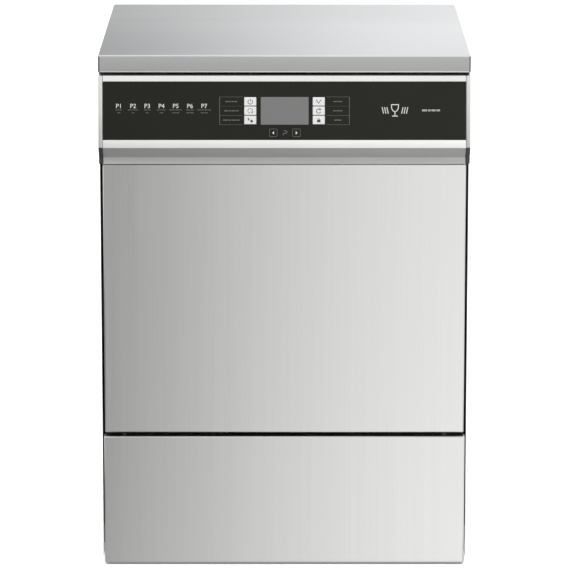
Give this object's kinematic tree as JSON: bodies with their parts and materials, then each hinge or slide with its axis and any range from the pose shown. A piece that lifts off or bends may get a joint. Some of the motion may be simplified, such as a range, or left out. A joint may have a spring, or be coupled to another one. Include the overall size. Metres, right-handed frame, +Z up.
{
  "type": "glass washer machine",
  "caption": "Undercounter steel glass washer: square cabinet, drop-down door with a leaning control console above it, a kick panel, and racks, spray arms and pumps inside.",
  "frame": {"origin": "on the floor, under the middle of the machine's whole depth and width", "axes": "+Z up, +X to the right of someone facing the door, front towards -Y"},
  "size_m": [0.6, 0.62, 0.85],
  "materials": {
    "brushed_steel": "vertical brushed grain, satin",
    "pressed_steel": "bright pressed sheet",
    "zinc_plate": "zinc plated",
    "silver_profile": "pale satin extrusion",
    "cap_grey": "light grey moulding",
    "black_fascia": "satin black",
    "key_white": "white satin",
    "display_grey": "clear window over a grey display",
    "circuit_board": "green board",
    "black_rubber": "matt",
    "dark_plastic": "moulded",
    "pale_plastic": "moulded",
    "damping_felt": "pressed mat",
    "coated_wire": "plastic coated wire",
    "filler_board": "chipboard"
  },
  "bodies": {
    "cabinet": {"worktop_skin": "brushed_steel", "side_panel_left": "brushed_steel", "side_panel_right": "brushed_steel", "kick_panel": "brushed_steel", "lock_strike": "pressed_steel", "wash_tub": "pressed_steel", "filter_plate": "pressed_steel", "heating_element": "pressed_steel", "lower_runner_left": "pressed_steel", "lower_runner_right": "pressed_steel", "upper_runner_left": "pressed_steel", "upper_runner_right": "pressed_steel", "rear_panel": "zinc_plate", "base_tray": "zinc_plate", "front_crossrail": "zinc_plate", "hinge_bracket_left": "zinc_plate", "hinge_bracket_right": "zinc_plate", "tub_seal": "black_rubber", "foot_front_left": "dark_plastic", "foot_front_right": "dark_plastic", "foot_rear_left": "dark_plastic", "foot_rear_right": "dark_plastic", "sump_bowl": "dark_plastic", "lower_spray_pillar": "dark_plastic", "rear_water_duct": "dark_plastic", "circulation_pump": "dark_plastic", "drain_outlet": "dark_plastic", "cable_gland": "dark_plastic", "drain_pump": "pale_plastic", "dosing_pump": "pale_plastic", "power_box": "pale_plastic", "inlet_valve": "pale_plastic", "worktop_board": "filler_board"},
    "door": {"door_outer_panel": "brushed_steel", "door_inner_liner": "pressed_steel", "door_damping_mat": "damping_felt", "console_profile": "silver_profile", "console_cap_left": "cap_grey", "console_cap_right": "cap_grey", "control_fascia": "black_fascia", "display_window": "display_grey", "control_board": "circuit_board", "door_lock": "dark_plastic", "dispenser_body": "pale_plastic", "hinge_pin_left": "pressed_steel", "hinge_pin_right": "pressed_steel"},
    "dispenser_cover": {"dispenser_lid": "pale_plastic"},
    "lower_basket": {"lower_rack": "coated_wire"},
    "upper_basket": {"upper_rack": "coated_wire"},
    "lower_arm": {"lower_spray_arm": "pressed_steel"},
    "upper_arm": {"upper_spray_arm": "pressed_steel"},
    "filter_insert": {"filter_cup": "dark_plastic"},
    "power_button": {"power_key": "key_white"},
    "cycle_button": {"cycle_key": "key_white"},
    "start_button": {"start_key": "key_white"},
    "confirm_button": {"confirm_key": "key_white"},
    "repeat_button": {"repeat_key": "key_white"},
    "lock_button": {"lock_key": "key_white"},
    "previous_button": {"previous_key": "black_fascia"},
    "next_button": {"next_key": "black_fascia"}
  },
  "joints": [
    {"name": "door_hinge", "type": "hinge", "parent": "cabinet", "child": "door", "pos_m": [0, -0.28, 0.2305], "axis": [1, 0, 0], "range_deg": [0, 90]},
    {"name": "lower_rack_slide", "type": "slide", "parent": "cabinet", "child": "lower_basket", "axis": [0, -1, 0], "range_m": [0, 0.2]},
    {"name": "upper_rack_slide", "type": "slide", "parent": "cabinet", "child": "upper_basket", "axis": [0, -1, 0], "range_m": [0, 0.42]},
    {"name": "lower_arm_spin", "type": "hinge", "parent": "cabinet", "child": "lower_arm", "pos_m": [0, 0.008, 0.294], "axis": [0, 0, 1], "continuous": true},
    {"name": "upper_arm_spin", "type": "hinge", "parent": "upper_basket", "child": "upper_arm", "pos_m": [0, 0.008, 0.551], "axis": [0, 0, 1], "continuous": true},
    {"name": "filter_turn", "type": "hinge", "parent": "cabinet", "child": "filter_insert", "pos_m": [0, -0.115, 0.262], "axis": [0, 0, 1], "range_deg": [0, 45]},
    {"name": "dispenser_lid_slide", "type": "slide", "parent": "door", "child": "dispenser_cover", "axis": [1, 0, 0], "range_m": [0, 0.07]},
    {"name": "power_key_press", "type": "slide", "parent": "door", "child": "power_button", "axis": [0, 0.9846, -0.1746], "range_m": [0, 0.001], "stiffness_N_per_m": 800},
    {"name": "cycle_key_press", "type": "slide", "parent": "door", "child": "cycle_button", "axis": [0, 0.9846, -0.1746], "range_m": [0, 0.001], "stiffness_N_per_m": 800},
    {"name": "start_key_press", "type": "slide", "parent": "door", "child": "start_button", "axis": [0, 0.9846, -0.1746], "range_m": [0, 0.001], "stiffness_N_per_m": 800},
    {"name": "confirm_key_press", "type": "slide", "parent": "door", "child": "confirm_button", "axis": [0, 0.9846, -0.1746], "range_m": [0, 0.001], "stiffness_N_per_m": 800},
    {"name": "repeat_key_press", "type": "slide", "parent": "door", "child": "repeat_button", "axis": [0, 0.9846, -0.1746], "range_m": [0, 0.001], "stiffness_N_per_m": 800},
    {"name": "lock_key_press", "type": "slide", "parent": "door", "child": "lock_button", "axis": [0, 0.9846, -0.1746], "range_m": [0, 0.001], "stiffness_N_per_m": 800},
    {"name": "previous_key_press", "type": "slide", "parent": "door", "child": "previous_button", "axis": [0, 0.9846, -0.1746], "range_m": [0, 0.001], "stiffness_N_per_m": 800},
    {"name": "next_key_press", "type": "slide", "parent": "door", "child": "next_button", "axis": [0, 0.9846, -0.1746], "range_m": [0, 0.001], "stiffness_N_per_m": 800}
  ],
  "couplings": [
    {"joint": "lower_rack_slide", "follows": "door_hinge", "m_per_rad": 0.1273},
    {"joint": "upper_rack_slide", "follows": "door_hinge", "m_per_rad": 0.2673}
  ]
}
